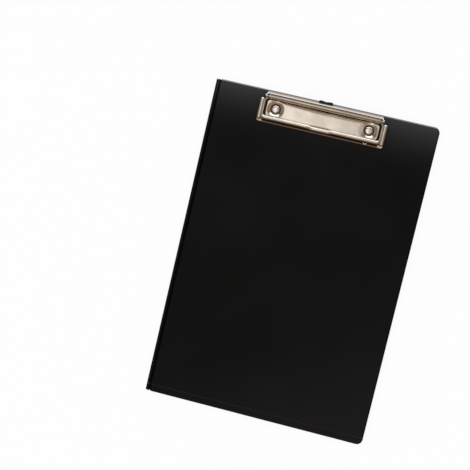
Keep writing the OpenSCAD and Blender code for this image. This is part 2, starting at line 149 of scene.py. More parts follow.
def on_clip(surface):
    """Takes a surface from the clip's frame (x, v, w) to the board's frame."""
    points, cells = surface
    x, v, w = points.T
    return np.stack([clip_x + x, panel_y1 - v, board_top + w], -1), cells


def new_piece(name, surface, sharp=40):
    """A mesh object from points in millimetres; edges sharper than the given angle stay crisp."""
    points, cells = surface
    mesh = bpy.data.meshes.new(name)
    mesh.from_pydata((points * MM).tolist(), [], cells.tolist())
    mesh.polygons.foreach_set("use_smooth", np.ones(len(mesh.polygons), bool))
    mesh.set_sharp_from_angle(angle=np.radians(sharp))
    mesh.validate()
    piece = bpy.data.objects.new(name, mesh)
    bpy.context.scene.collection.objects.link(piece)
    return piece


def settle(piece, body, slot, material, *replaced):
    """Gives a piece its finish and its body, and hides the nodes that it stands for."""
    piece.data.materials.append(material)
    if body:
        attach(piece, body)
    if replaced:
        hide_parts(*replaced)
    print(f"{piece.name}: {len(piece.data.polygons)} cells")
    return piece


def summed(values, at, n):
    """Adds up vectors at their points."""
    return np.stack([np.bincount(at, values[:, k], n) for k in range(3)], -1)


def unit(vectors):
    """Vectors of length 1."""
    return vectors / np.maximum(np.linalg.norm(vectors, axis=-1, keepdims=True), 1e-12)


def sheet_metal(surface, thickness, edge=0.15):
    """A closed sheet round its middle surface: each point steps half the thickness along its
    normal to both sides, and the cut edges get two small bevels."""
    points, cells = surface
    n = len(points)
    across = np.cross(points[cells[:, 2]] - points[cells[:, 0]], points[cells[:, 3]] - points[cells[:, 1]])
    normal = unit(summed(np.repeat(across, 4, 0), cells.ravel(), n))
    ends = np.stack([cells, np.roll(cells, -1, 1)], -1).reshape(-1, 2)
    code, mirror = ends[:, 0] * n + ends[:, 1], ends[:, 1] * n + ends[:, 0]
    a, b = ends[~np.isin(code, mirror)].T
    out = unit(np.cross(points[b] - points[a], normal[a] + normal[b]))
    out = unit(summed(out, a, n) + summed(out, b, n))
    rim = np.unique(np.concatenate([a, b]))
    order = np.full(n, -1)
    order[rim] = np.arange(len(rim))
    half = thickness / 2
    shell = np.concatenate([points + half * normal, points - half * normal])
    side = points[rim] + edge * out[rim]
    rims = [side + (half - edge) * normal[rim], side - (half - edge) * normal[rim]]
    first, second = 2 * n + order, 2 * n + len(rim) + order
    walls = [np.stack(corners, -1) for corners in (
        (b, a, first[a], first[b]),
        (first[b], first[a], second[a], second[b]),
        (second[b], second[a], a + n, b + n))]
    return np.concatenate([shell] + rims), np.concatenate([cells, cells[:, ::-1] + n] + walls)


# %% [markdown]
# ## Outlines and paths
# A panel, a wing of the clip and a raised metal panel are all rectangles with rounded
# corners. One unit outline serves them all, so their points correspond and one can pass
# smoothly into another. A bend in a path is an arc that touches both of its legs.

# %% Rounded outlines, rounded paths, smooth steps


def unit_outline(n_corner, n_side, n_end):
    """Place of each outline point between the corner centres (0 to 1 each way) and its direction
    from them, anticlockwise from the middle of the low edge, the same on the left and right."""
    half = (np.arange(n_end) + 0.5) / n_end
    turn = np.radians(np.linspace(0, 90, n_corner + 1))
    side = np.arange(1, n_side) / n_side
    ones = np.ones
    along_x = np.concatenate([0.5 + half / 2, ones(2 * n_corner + 2 + len(side)), 1 - half / 2])
    along_y = np.concatenate([0 * half, 0 * turn, side, ones(n_corner + 1), ones(n_end)])
    angle = np.concatenate([
        np.full(n_end, -np.pi / 2), turn - np.pi / 2, 0 * side, turn, np.full(n_end, np.pi / 2)])
    along_x = np.concatenate([along_x, 1 - along_x[::-1]])
    along_y = np.concatenate([along_y, along_y[::-1]])
    angle = np.concatenate([angle, np.pi - angle[::-1]])
    return along_x, along_y, angle


def outlines(unit, x0, y0, x1, y1, r_left, r_right):
    """Rounded rectangles, one a row: corner centre plus radius times direction."""
    along_x, along_y, angle = unit
    x0, y0, x1, y1, rl, rr = np.broadcast_arrays(
        *(np.reshape(np.asarray(value, float), (-1, 1)) for value in (x0, y0, x1, y1, r_left, r_right)))
    r = np.where(along_x < 0.5, rl, rr)
    x = x0 + rl + along_x * (x1 - rr - x0 - rl) + r * np.cos(angle)
    y = y0 + r + along_y * (y1 - y0 - 2 * r) + r * np.sin(angle)
    return x, y


def smooth_step(x, start, end):
    """0 before start, 1 after end, and 3t^2 - 2t^3 between them."""
    t = np.clip((np.asarray(x, float) - start) / (end - start), 0, 1)
    return t * t * (3 - 2 * t)


def arc(centre, radius, first, last, n):
    """Points of an arc, angles in degrees."""
    a = np.radians(np.linspace(first, last, n))
    return np.asarray(centre) + radius * np.stack([np.cos(a), np.sin(a)], -1)


def rounded(corners, radius, n=8):
    """A path whose corners are arcs: each arc touches both legs at radius * tan(turn / 2)."""
    corners = np.asarray(corners, float)
    parts = [corners[:1]]
    for before, at, after in zip(corners, corners[1:], corners[2:]):
        a = (before - at) / np.linalg.norm(before - at)
        b = (after - at) / np.linalg.norm(after - at)
        half = np.arccos(np.clip(a @ b, -1, 1)) / 2
        centre = at + (a + b) / np.linalg.norm(a + b) * radius / np.sin(half)
        sweep = np.linspace(-1, 1, n) * (np.pi / 2 - half)
        inward = -(a + b) / np.linalg.norm(a + b)
        across = (b - a) / np.linalg.norm(b - a)
        parts.append(centre + radius * (np.cos(sweep)[:, None] * inward + np.sin(sweep)[:, None] * across))
    return np.concatenate(parts + [corners[-1:]])


def even_steps(path, n):
    """n points along a path, the same distance apart."""
    travelled = np.concatenate([[0], np.cumsum(np.linalg.norm(np.diff(path, axis=0), axis=1))])
    at = np.linspace(0, travelled[-1], n)
    return np.stack([np.interp(at, travelled, path[:, k]) for k in range(path.shape[1])], -1)


def left_normals(path):
    """Unit normals of a flat path, to the left of its direction."""
    step = np.gradient(path, axis=0)
    step /= np.linalg.norm(step, axis=1, keepdims=True)
    return np.stack([-step[:, 1], step[:, 0]], -1)


# %% [markdown]
# ## The camera
# The photograph was taken from almost straight above: 86 cm up and six and a half degrees
# off the vertical. The clipboard lies turned by about thirteen degrees. The four corners of
# the board fix the camera's place, its turn and its lens.

# %% Camera
CAMERA_AT = Vector((11.5, 78.5, 856.0)) * MM
CAMERA_LOOKS = Vector((-0.0829, -0.0763, -0.9936)).normalized()
CAMERA_UP = Vector((-0.2343, 0.9706, -0.0550))
PICTURE_PX = 470
FOCAL_PX = 851.05

camera = bpy.data.cameras.new("camera")
camera.sensor_width = 36.0
camera.lens = FOCAL_PX / PICTURE_PX * camera.sensor_width
camera.clip_start = 0.01
view = bpy.data.objects.new("camera", camera)
bpy.context.scene.collection.objects.link(view)
right = CAMERA_LOOKS.cross(CAMERA_UP).normalized()
up = right.cross(CAMERA_LOOKS)
turn = Matrix((right, up, -CAMERA_LOOKS)).transposed()
view.matrix_world = Matrix.Translation(CAMERA_AT) @ turn.to_4x4()
bpy.context.scene.camera = view
off_plumb = np.degrees(CAMERA_LOOKS.angle(Vector((0, 0, -1))))
print(f"lens {camera.lens:.1f} mm, {off_plumb:.1f} degrees off plumb")

# %% [markdown]
# ## Node helpers
# A material is a small graph. These helpers add a node with its settings, and join outputs
# to inputs, so that each finish below reads as a short recipe.

# %% Helpers for shader nodes


def add_node(tree, kind, settings=None, **inputs):
    """A node with its settings; an input is a number, a colour, or an output to join to it."""
    node = tree.nodes.new(kind)
    for key, value in (settings or {}).items():
        setattr(node, key, value)
    for key, value in inputs.items():
        socket = node.inputs[int(key[1:])] if key[0] == "_" else node.inputs[key.replace("_", " ")]
        if isinstance(value, bpy.types.NodeSocket):
            tree.links.new(value, socket)
        else:
            socket.default_value = value
    return node


def ramp(tree, value, low, high, to_low=0.0, to_high=1.0, smooth=True):
    """Maps value from low..high to to_low..to_high and holds it there."""
    kind = "SMOOTHSTEP" if smooth else "LINEAR"
    node = add_node(tree, "ShaderNodeMapRange", {"interpolation_type": kind},
                    _0=value, _1=low, _2=high, _3=to_low, _4=to_high)
    return node.outputs[0]


def math(tree, operation, a, b=0.0):
    """One sum or product of two values."""
    return add_node(tree, "ShaderNodeMath", {"operation": operation}, _0=a, _1=b).outputs[0]


def mix_colours(tree, amount, a, b):
    """From colour a to colour b."""
    return add_node(tree, "ShaderNodeMix", {"data_type": "RGBA"}, _0=amount, _6=a, _7=b).outputs[2]


def noise(tree, position, scale, detail):
    """Soft noise with about scale patches a metre, and finer noise on top for each detail."""
    return add_node(tree, "ShaderNodeTexNoise", Vector=position, Scale=scale, Detail=detail).outputs[0]


def band(tree, value, middle_mm, half_mm, fade_mm):
    """1 within half_mm of a place, fading to 0 over fade_mm."""
    away = math(tree, "ABSOLUTE", math(tree, "SUBTRACT", value, middle_mm * MM))
    return ramp(tree, away, half_mm * MM, (half_mm + fade_mm) * MM, 1.0, 0.0)


def between(tree, value, starts, full, fades, ends):
    """1 from full to fades, with soft sides out to starts and ends, all in millimetres."""
    rise = ramp(tree, value, starts * MM, full * MM)
    return math(tree, "MULTIPLY", rise, ramp(tree, value, fades * MM, ends * MM, 1.0, 0.0))


def new_finish(name):
    """An empty material with its shader and coordinates: (material, tree, shader, position)."""
    material = bpy.data.materials.new(name)
    material.use_nodes = True
    tree = material.node_tree
    shader = tree.nodes["Principled BSDF"]
    position = add_node(tree, "ShaderNodeTexCoord").outputs["Object"]
    return material, tree, shader, position


def stretched(tree, position, scale):
    """Coordinates stretched by a scale on each axis."""
    return add_node(tree, "ShaderNodeMapping", Vector=position, Scale=scale).outputs[0]


def relief(tree, shader, height, depth_mm, strength=1.0):
    """Bump of a given depth from a height between 0 and 1."""
    bump = add_node(tree, "ShaderNodeBump", Strength=strength, Distance=depth_mm * MM, Height=height)
    tree.links.new(bump.outputs[0], shader.inputs["Normal"])


# %% [markdown]
# ## Black film
# The cover is soft vinyl film, nearly black, with a fine leather grain. It could be painted
# with one flat colour, but real film shows its grain as tiny changes of gloss. A cell
# pattern gives the pebbles, and slow noise changes the gloss a little from place to place.
# A little dust sits in the groove beside the spine, which painted shade makes dark. Painted
# sheen makes the film paler towards the clip edge and the lower right corner, and painted
# highlights lighten the spine's bead, the crease at the foot and the outer edges at the foot
# and the top. Each is a mask from the place on the board, and a shade mixed in by that mask.

# %% Film finish
DEEP_BLACK, BLACK = (0.0022, 0.0020, 0.0020, 1), (0.0036, 0.0034, 0.0034, 1)
# The next two lines are painted sheen and painted highlights; the one after is painted shade and dust.
PAINTED_CORNER_SHEEN, CLIP_EDGE_SHEEN, BEAD_HIGHLIGHT = (0.0085, 0.0080, 0.0080, 1), (0.038, 0.037, 0.037, 1), (0.0075, 0.0070, 0.0070, 1)
CREASE_HIGHLIGHT, FOOT_RIM_HIGHLIGHT, TOP_RIM_HIGHLIGHT = (0.028, 0.026, 0.024, 1), (0.014, 0.013, 0.013, 1), (0.24, 0.24, 0.25, 1)
GROOVE_SHADE, DUST = (0.0006, 0.0006, 0.0006, 1), (0.045, 0.04, 0.036, 1)
GROOVE_X, CREASE_Y = panel_x0 + 0.3, panel_y0 + 6.2
FOOT_RIM_Y, TOP_RIM_Y = panel_y0 - 1.0, panel_y1 + 0.8
SHEEN_REACH = 60
PALE_FROM, PALE_TO = 60, 220
GRAIN_SCALE, GRAIN_DEPTH = 2400.0, 0.02
ROUGH_LOW, ROUGH_HIGH = 0.40, 0.425
FILM_SHEEN, GROOVE_SHEEN = 0.09, 0.02

film, tree, shader, position = new_finish("vinyl film")
pebbles = add_node(tree, "ShaderNodeTexVoronoi", {"feature": "SMOOTH_F1"}, Vector=position,
                   Scale=GRAIN_SCALE, Smoothness=0.6).outputs["Distance"]
slow = noise(tree, position, 14.0, 2.0)
specks = noise(tree, position, 1300.0, 1.0)
x_of, y_of, _ = add_node(tree, "ShaderNodeSeparateXYZ", Vector=position).outputs

# painted shade darkens the groove beside the spine, and its gloss is lowered there
groove = band(tree, x_of, GROOVE_X, 0.9, 0.8)
# painted highlight along the spine's rounded bead
bead = ramp(tree, x_of, (panel_x0 - 2.6) * MM, (panel_x0 - 1.6) * MM, 1.0, 0.0)
to_corner = math(tree, "SUBTRACT", math(tree, "MULTIPLY", x_of, 0.5), y_of)
# painted sheen that grows towards the clip edge
clip_edge_sheen = ramp(tree, y_of, (panel_y1 - SHEEN_REACH) * MM, (panel_y1 + 1) * MM, smooth=False)
shades = (
    # painted sheen, paler towards the lower right corner
    (ramp(tree, to_corner, PALE_FROM * MM, PALE_TO * MM), PAINTED_CORNER_SHEEN),
    (math(tree, "POWER", clip_edge_sheen, 3.0), CLIP_EDGE_SHEEN),
    (bead, BEAD_HIGHLIGHT),
    # painted highlight along the crease at the foot
    (band(tree, y_of, CREASE_Y, 0.2, 0.5), CREASE_HIGHLIGHT),
    # painted highlights along the outer edges at the foot and the top
    (band(tree, y_of, FOOT_RIM_Y, 0.3, 0.5), FOOT_RIM_HIGHLIGHT),
    (band(tree, y_of, TOP_RIM_Y, 0.7, 0.5), TOP_RIM_HIGHLIGHT),
    (math(tree, "MULTIPLY", groove, 0.8), GROOVE_SHADE),
    (math(tree, "MULTIPLY", groove, ramp(tree, specks, 0.68, 0.74)), DUST),
)
tone = mix_colours(tree, ramp(tree, slow, 0.35, 0.65), DEEP_BLACK, BLACK)
for mask, shade in shades:
    tone = mix_colours(tree, mask, tone, shade)
tree.links.new(tone, shader.inputs["Base Color"])
tree.links.new(ramp(tree, slow, 0.3, 0.7, ROUGH_LOW, ROUGH_HIGH), shader.inputs["Roughness"])
sheen = ramp(tree, groove, 0.0, 1.0, FILM_SHEEN, GROOVE_SHEEN)
tree.links.new(sheen, shader.inputs["Specular IOR Level"])
relief(tree, shader, pebbles, GRAIN_DEPTH, 0.5)

# %% [markdown]
# ## Nickel
# The clip is plated steel. A mirror finish alone looks like chrome from a drawing: real
# plating is a little milky, and a pressed sheet is never quite flat. Slow noise tilts the
# mirror by a hair, so reflections waver, and fine streaks run along the rolled length.
# Painted shade darkens the colour in a ring round each rivet and in the gap behind the tube
# that is rolled round the rod. Both are masks from the place on the clip.

# %% Plated finishes
RIVET_X, RIVET_V = 47.0, 17.0
# Painted shade in the rivet rings and the gap behind the tube: how strong, and its colour.
SHADE_AMOUNT, SHADE_COLOUR = 0.75, (0.10, 0.06, 0.04, 1)
RING_SHADE = (3.3, 4.1, 4.6, 5.7)
RING_SHIFT = 0.4
GAP_SHADE = (3.2, 3.5, 4.6, 6.3)
GAP_HALF, GAP_END = 56.0, 57.0


def painted_shade(tree, position):
    """1 where shade is painted: in a ring round each rivet, and in the gap behind the rolled tube."""
    x, y, _ = add_node(tree, "ShaderNodeSeparateXYZ", Vector=position).outputs
    beside = math(tree, "ABSOLUTE", math(tree, "SUBTRACT", x, clip_x * MM))
    from_rivet = math(tree, "SUBTRACT", beside, RIVET_X * MM)
    ahead = math(tree, "SUBTRACT", panel_y1 * MM, y)
    from_middle = math(tree, "SUBTRACT", ahead, (RIVET_V - RING_SHIFT) * MM)
    flat = add_node(tree, "ShaderNodeCombineXYZ", X=from_rivet, Y=from_middle).outputs[0]
    r = add_node(tree, "ShaderNodeVectorMath", {"operation": "LENGTH"}, _0=flat).outputs["Value"]
    ring = between(tree, r, *RING_SHADE)
    along = ramp(tree, beside, GAP_HALF * MM, GAP_END * MM, 1.0, 0.0)
    gap = math(tree, "MULTIPLY", between(tree, ahead, *GAP_SHADE), along)
    return math(tree, "MAXIMUM", ring, gap)


def plated(name, colour, rough_low, rough_high, streaks):
    """Warm nickel plate: metal colour with painted shade, soft gloss that varies, wavering and streaked
    relief.
    """
    material, tree, shader, position = new_finish(name)
    slow = noise(tree, position, 70.0, 2.0)
    fine = noise(tree, stretched(tree, position, (0.06, 1.0, 1.0)), 5200.0, 3.0)
    faded = tuple(c * 0.9 for c in colour) + (1,)
    tone = mix_colours(tree, ramp(tree, slow, 0.3, 0.7), colour + (1,), faded)
    # painted shade mixed into the colour
    shade_mask = math(tree, "MULTIPLY", painted_shade(tree, position), SHADE_AMOUNT)
    tree.links.new(mix_colours(tree, shade_mask, tone, SHADE_COLOUR), shader.inputs["Base Color"])
    tree.links.new(ramp(tree, slow, 0.3, 0.7, rough_low, rough_high), shader.inputs["Roughness"])
    shader.inputs["Metallic"].default_value = 1.0
    height = math(tree, "ADD", slow, math(tree, "MULTIPLY", fine, streaks))
    relief(tree, shader, height, 0.05, 0.6)
    return material


nickel = plated("nickel plate", (0.76, 0.68, 0.59), 0.13, 0.20, 0.01)
nickel_rod = plated("nickel rod", (0.86, 0.82, 0.77), 0.12, 0.18, 0.0)
spring_steel = plated("spring steel", (0.36, 0.35, 0.34), 0.28, 0.36, 0.0)

# %% [markdown]
# ## Black plastic and greyboard
# The hanger is a small moulding with the even, fine texture of its mould. The board inside
# the film is pressed paper fibre: grey, dull and slightly mottled.

# %% Hanger plastic and board
black_plastic, tree, shader, position = new_finish("black plastic")
mould = noise(tree, position, 3000.0, 2.0)
tone = mix_colours(tree, mould, (0.006, 0.006, 0.006, 1), (0.010, 0.010, 0.011, 1))
tree.links.new(tone, shader.inputs["Base Color"])
tree.links.new(ramp(tree, mould, 0.3, 0.7, 0.42, 0.52), shader.inputs["Roughness"])
shader.inputs["Specular IOR Level"].default_value = 0.3
relief(tree, shader, mould, 0.02, 0.4)

greyboard, tree, shader, position = new_finish("greyboard")
fibres = noise(tree, stretched(tree, position, (1.0, 0.3, 1.0)), 1500.0, 4.0)
tone = mix_colours(tree, ramp(tree, fibres, 0.3, 0.7), (0.22, 0.20, 0.17, 1), (0.34, 0.31, 0.27, 1))
tree.links.new(tone, shader.inputs["Base Color"])
tree.links.new(ramp(tree, fibres, 0.3, 0.7, 0.85, 0.95), shader.inputs["Roughness"])
relief(tree, shader, fibres, 0.06, 0.6)

for node in ("board_core", "cover_core"):
    core = frame["nodes"][node]
    core.data.materials.clear()
    core.data.materials.append(greyboard)
print("finishes:", [m.name for m in bpy.data.materials])

# %% [markdown]
# ## Film round a board
# Each side of a panel is one sheet of film. It lies flat along the weld at the edge, climbs
# over the rim of the board in a soft S, and runs flat across the face. The foot has a wide
# flap where the board was slipped in before the last weld. The sheet is a stack of rounded
# outlines: first the hidden side from the middle out, then round the cut edge, then the
# visible side back to the middle. The same function makes all four sheets, two of them
# mirrored in the weld plane.

# %% Two sheets for each panel
WELD, SPINE_WELD, FLAP = 1.0, 0.4, 7.0
TOP_EXTRA, FOOT_EXTRA = 1.0, 1.1
SLOPE = 1.0
FREE_CORNER, SPINE_CORNER, LEAST_CORNER = 6.0, 3.0, 0.4
FIRST_RING, LAST_RING, FACE_RINGS = 0.5, 108, 16
SHOULDER_RINGS = 10
SEAM_DEPTH, SEAM_AT, SEAM_HALF = 0.1, 0.86, 0.05
RIM_EASE = 0.08
FLAP_WAVE = 0.08

panel_unit = unit_outline(10, 90, 60)


def panel_outlines(to_slope, up_slope, inside):
    """Outlines of a panel: to_slope runs 0..1 over the weld, up_slope 0..1 up the shoulder and
    inside is the distance in from there. Each side has its own weld width."""

    def margin(weld):
        """Distance in from an edge that has this width of weld."""
        return to_slope * (weld - 0.15) + up_slope * (SLOPE - 0.05) + inside

    left, free = margin(SPINE_WELD), margin(WELD)
    foot, top = margin(FLAP - SLOPE + FOOT_EXTRA) - FOOT_EXTRA, margin(WELD + TOP_EXTRA) - TOP_EXTRA
    r_left = np.maximum(SPINE_CORNER - left, LEAST_CORNER)
    r_right = np.maximum(FREE_CORNER - free, LEAST_CORNER)
    return outlines(panel_unit, panel_x0 + left, panel_y0 + foot, panel_x1 - free, panel_y1 - top,
                    r_left, r_right)


def film_sheet(core_t, weld_z, side):
    """One sheet of film, above (side 1) or below (side -1) its weld plane."""
    face = np.concatenate([np.geomspace(LAST_RING, FIRST_RING, FACE_RINGS), [0]])
    shoulder = np.linspace(1, 0, SHOULDER_RINGS + 1)[1:]
    weld = np.array([0.97, SEAM_AT + SEAM_HALF, SEAM_AT, SEAM_AT - SEAM_HALF, 0.7, 0.4, 0.1])
    count = (len(face), len(shoulder), len(weld))
    inside = np.concatenate([face, np.zeros(count[1] + count[2])])
    up = np.concatenate([np.ones(count[0]), shoulder, np.zeros(count[2])])
    flat = np.concatenate([np.ones(count[0] + count[1]), weld])
    climb = (1 - np.cos(np.pi * up)) / 2
    seam = SEAM_DEPTH * np.exp(-((flat - SEAM_AT) / SEAM_HALF) ** 2) * (up == 0)

    inner_x, inner_y = panel_outlines(flat, up, inside + film_t / 2 * (up > 0))
    outer_x, outer_y = panel_outlines(flat, up, inside)
    rim_x, rim_y = panel_outlines(np.zeros(2), np.zeros(2), np.zeros(2))
    x = np.concatenate([inner_x, rim_x, outer_x[::-1]])
    y = np.concatenate([inner_y, rim_y, outer_y[::-1]])
    z = np.concatenate([climb * core_t / 2, [RIM_EASE, film_t - RIM_EASE],
                        (film_t + climb * core_t / 2 - seam)[::-1]])[:, None] + 0 * x
    near_foot = 1 - smooth_step(y, panel_y0 + 1, panel_y0 + FLAP - 1)
    wave = FLAP_WAVE * near_foot * (np.sin(x / 17 + 0.6) + 0.5 * np.sin(x / 7.3))
    return outward(*stack_of_outlines(x, y, weld_z + side * z + wave))


film_sheets = {
    "board_front_film": ("board", board_core_t, board_z, 1),
    "board_back_film": ("board", board_core_t, board_z, -1),
    "cover_outer_film": ("cover", cover_core_t, cover_z, 1),
    "cover_inner_film": ("cover", cover_core_t, cover_z, -1),
}
for node, (body, core_t, weld_z, side) in film_sheets.items():
    settle(new_piece(node + "_skin", film_sheet(core_t, weld_z, side)), body, "vinyl_film", film, node)

# %% [markdown]
# ## The spine
# Both films run on past the board, welded to each other, and fold right round to the cover.
# Seen from above that fold is the soft bead down the left side. It bends at three creases.
# A piece can bend across one joint only, so the fold is three strips that meet half way
# between the creases, where the film stays straight.

# %% Three strips of the folded spine
STRIP_T = 0.52
FOLD_RADIUS, NOSE_RADIUS = 0.5, 0.6
ROOT_INSET, FOOT_INSET, SPINE_INSET = 0.3, 0.2, 0.5
PATH_POINTS, STATIONS = 40, 120
NOSE_REACH = np.array([-0.7, 0.0])
crease = {name: joint_at[name][[0, 2]] for name in ("upper_crease", "middle_crease", "cover_fold")}
board_root = np.array([panel_x0 + ROOT_INSET, board_z])
cover_root = np.array([panel_x0 + ROOT_INSET, cover_z])
upper_mid = (crease["upper_crease"] + crease["middle_crease"]) / 2
lower_mid = (crease["cover_fold"] + crease["middle_crease"]) / 2


def swept_strip(corners, radius):
    """A flat strip of film: its cross-section follows the corners and runs along the spine."""
    path = even_steps(rounded(corners, radius, 12), PATH_POINTS)
    normal = left_normals(path) * STRIP_T / 2
    section = np.concatenate([path + normal, (path - normal)[::-1]])
    foot, top = panel_y0 + FOOT_INSET - FOOT_EXTRA, panel_y1 + TOP_EXTRA - SPINE_INSET
    y = np.linspace(foot, top, STATIONS)[:, None] + 0 * section[:, 0]
    return outward(*stack_of_outlines(section[:, 0] + 0 * y, y, section[:, 1] + 0 * y))


def bend_strip(name, corners, radius, node):
    """Makes one strip, hides the node that it stands for and bakes its place into its points."""
    strip = settle(new_piece(name, swept_strip(corners, radius)), None, "vinyl_film", film, node)
    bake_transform(strip)


bend_strip("spine_board_side", [board_root, crease["upper_crease"], upper_mid], FOLD_RADIUS,
           "spine_upper_fold")
bend_strip("spine_nose", [upper_mid, crease["middle_crease"] + NOSE_REACH, lower_mid], NOSE_RADIUS,
           "spine_upper_fold")
bend_strip("spine_cover_side", [lower_mid, crease["cover_fold"], cover_root], FOLD_RADIUS,
           "spine_lower_fold")

# %% [markdown]
# ## The storage pocket
# Inside the cover a second sheet is welded on along three sides. Its mouth faces the clip
# and has a round notch for the thumb. Each column of its grid runs from the rounded foot to
# the mouth, so the notch and the corners are smooth without any cutting.

# %% Pocket
POCKET_T, POCKET_LIFT = 0.3, 0.02
NOTCH_R = 14.0
POCKET_CORNER = 4.0
WELD_IN, WELD_HALF, WELD_DEPTH = 1.2, 0.3, 0.1
pocket_low, pocket_high = box_mm("inner_pocket")


def close_steps(length, fine, coarse, n_fine):
    """Positions along a length, fine steps near both ends and coarse ones between."""
    near = np.arange(n_fine) * fine
    middle = np.linspace(near[-1] + fine, length - near[-1] - fine,
                         int((length - 2 * near[-1]) / coarse) + 2)
    return np.concatenate([near, middle, length - near[::-1]])


def pocket_sheet():
    """A thin closed sheet: outer face on the table's side, a weld groove along three sides."""
    width = pocket_high[0] - pocket_low[0]
    across = close_steps(width, 0.25, 2.0, 14)
    x = pocket_low[0] + across
    from_side = np.minimum(across, width - across)
    inset = np.maximum(POCKET_CORNER - from_side, 0)
    foot = pocket_low[1] + POCKET_CORNER - np.sqrt(np.maximum(POCKET_CORNER ** 2 - inset ** 2, 0))
    notch = np.sqrt(np.maximum(NOTCH_R ** 2 - x ** 2, 0))
    mouth = pocket_high[1] - notch
    up = close_steps(pocket_high[1] - pocket_low[1], 0.25, 4.0, 14)
    up = (up / up[-1])[:, None]
    y = foot + up * (mouth - foot)
    grid_x = x + 0 * y
    from_weld = np.minimum(np.minimum(grid_x - pocket_low[0], pocket_high[0] - grid_x), y - foot)
    groove = WELD_DEPTH * np.exp(-((from_weld - WELD_IN) / WELD_HALF) ** 2)
    rows, columns = y.shape
    low = np.stack([grid_x, y, POCKET_LIFT + groove], -1)
    high = np.stack([grid_x, y, 0 * y + POCKET_T], -1)
    cells = grid_cells(rows, columns)
    points = np.concatenate([low.reshape(-1, 3), high.reshape(-1, 3)])
    index = np.arange(rows * columns).reshape(rows, columns)
    loop = np.concatenate([index[0], index[1:, -1], index[-1, -2::-1], index[-2:0:-1, 0]])
    after = np.roll(loop, -1)
    shift = rows * columns
    wall = np.stack([loop, after, after + shift, loop + shift], -1)
    return outward(points, np.concatenate([cells[:, ::-1], cells + shift, wall]))


settle(new_piece("inner_pocket_sheet", pocket_sheet()), "cover", "vinyl_film", film, "inner_pocket")

# %% [markdown]
# ## The clip's base
# One strip of plated sheet is folded into the base: a rear wall that leans back, a crest
# rolled over the hinge, a foot on the board, and a raised panel with two dished seats for
# the rivets. The crest, the wall and the foot are one profile carried across. The panel is a
# tray turned upside down, so it is a stack of rounded outlines, and the dishes are a
# smooth function of the distance from each rivet. They pull the sheet down over a wide ring,
# and that soft slope is what catches the light beside the rivets.

# %% Rear wall, crest, foot and ears
SHEET = 0.7
CREST_R = 3.35
CREST_STOP, WALL_LEAN = 122, 17
FOOT_W = SHEET / 2
FOOT_END = 6.9
ARC_POINTS, WALL_POINTS = 24, 60
CLIP_HALF = 57.75
NOTCH_HALF, NOTCH_TOP = 7.3, 2.2
hinge = np.array([hinge_v, hinge_w])


def wall_and_crest():
    """The profile: arc of the crest round the hinge, leaning wall, bend, foot. Cells in the
    hanger's notch are left out."""
    lean = np.radians(WALL_LEAN)
    crest = arc(hinge, CREST_R, CREST_STOP, 180 - WALL_LEAN, ARC_POINTS)
    down = np.array([-np.sin(lean), -np.cos(lean)])
    wall_foot = crest[-1] + (crest[-1, 1] - FOOT_W) / np.cos(lean) * down
    lower = rounded([crest[-1], wall_foot, [FOOT_END, FOOT_W]], 0.6)
    profile = np.concatenate([crest, even_steps(lower, WALL_POINTS)[1:]])
    beside = np.linspace(NOTCH_HALF, CLIP_HALF, 60)
    x = np.concatenate([-beside[::-1], np.linspace(-NOTCH_HALF, NOTCH_HALF, 16)[1:-1], beside])
    v = profile[:, :1] + 0 * x
    w = profile[:, 1:] + 0 * x
    points = np.stack([x + 0 * v, v, w], -1)
    cells = grid_cells(*v.shape)
    centre = points.reshape(-1, 3)[cells].mean(1)
    is_notch = (np.abs(centre[:, 0]) < NOTCH_HALF) & (centre[:, 2] < NOTCH_TOP)
    return points.reshape(-1, 3), cells[~is_notch]


EAR_R, EAR_FLARE, EAR_TRIM, EAR_ROUND = 3.7, 10, 0.995, 7


def ear(side):
    """A round-topped plate that carries the rod. It flares out by a few degrees as it runs
    forward: x grows with v by tan(flare)."""
    v = hinge_v + EAR_R * EAR_TRIM * np.sin(np.linspace(-np.pi / 2, np.pi / 2, 28))
    reach = np.abs(v - hinge_v) / EAR_R
    top = hinge_w + EAR_R * np.sqrt(1 - reach ** 2)
    low = hinge_w - hinge_w * (1 - reach ** EAR_ROUND) ** (1 / EAR_ROUND)
    up = np.linspace(0, 1, 14)[:, None]
    w = low + up * (top - low)
    root = hinge_v - EAR_R
    x = side * (CLIP_HALF - SHEET / 2 + (v - root) * np.tan(np.radians(EAR_FLARE))) + 0 * w
    points = np.stack([x, v + 0 * w, w], -1)
    return points.reshape(-1, 3), grid_cells(*w.shape)


# %% Raised panel with dished seats
PANEL_HALF, PANEL_REAR, PANEL_FRONT = 56.5, 8.0, 24.5
PANEL_W = 2.65
PANEL_BEND, PANEL_CORNER, PANEL_MIDDLE = 0.9, 3.2, 8.0
SEAT_R, CONE_R, BOWL_R, BOWL_END, BOWL_SLOPE = 4.6, 5.3, 7.6, 10.6, 0.45
LEFT_SHORTER, RIGHT_FLATTER = 1.2, 0.8
SAG_REACH, SAG_MORE, SAG_X, SAG_HALF, SAG_SLOPE = 2.0, 3.4, 10, 62, 0.33
tray_unit = unit_outline(8, 31, 130)


def dish_depth(x, v):
    """How far the dishes pull the panel down: a flat seat, a step, and a bowl with an even slope
    that eases out as a parabola. The right one is pressed flatter towards the panel's middle."""
    depth = 0
    for side, shorter, flatter in ((-1, LEFT_SHORTER, 0), (1, 0, RIGHT_FLATTER)):
        ease = BOWL_END - BOWL_R - shorter
        away = np.hypot(x - side * RIVET_X, v - RIVET_V)
        r = np.maximum(away, CONE_R)
        inward = 0.5 - 0.5 * side * (x - side * RIVET_X) / r
        slope = BOWL_SLOPE * (1 - flatter * inward ** 3)
        bowl = slope * (np.clip(BOWL_R + ease - r, 0, ease) ** 2 / ease / 2 + np.maximum(BOWL_R - r, 0))
        rim = slope * (ease / 2 + BOWL_R - CONE_R)
        step = 1 - smooth_step(away, SEAT_R, CONE_R)
        depth = depth + bowl + (PANEL_W - FOOT_W - rim) * step
    return depth


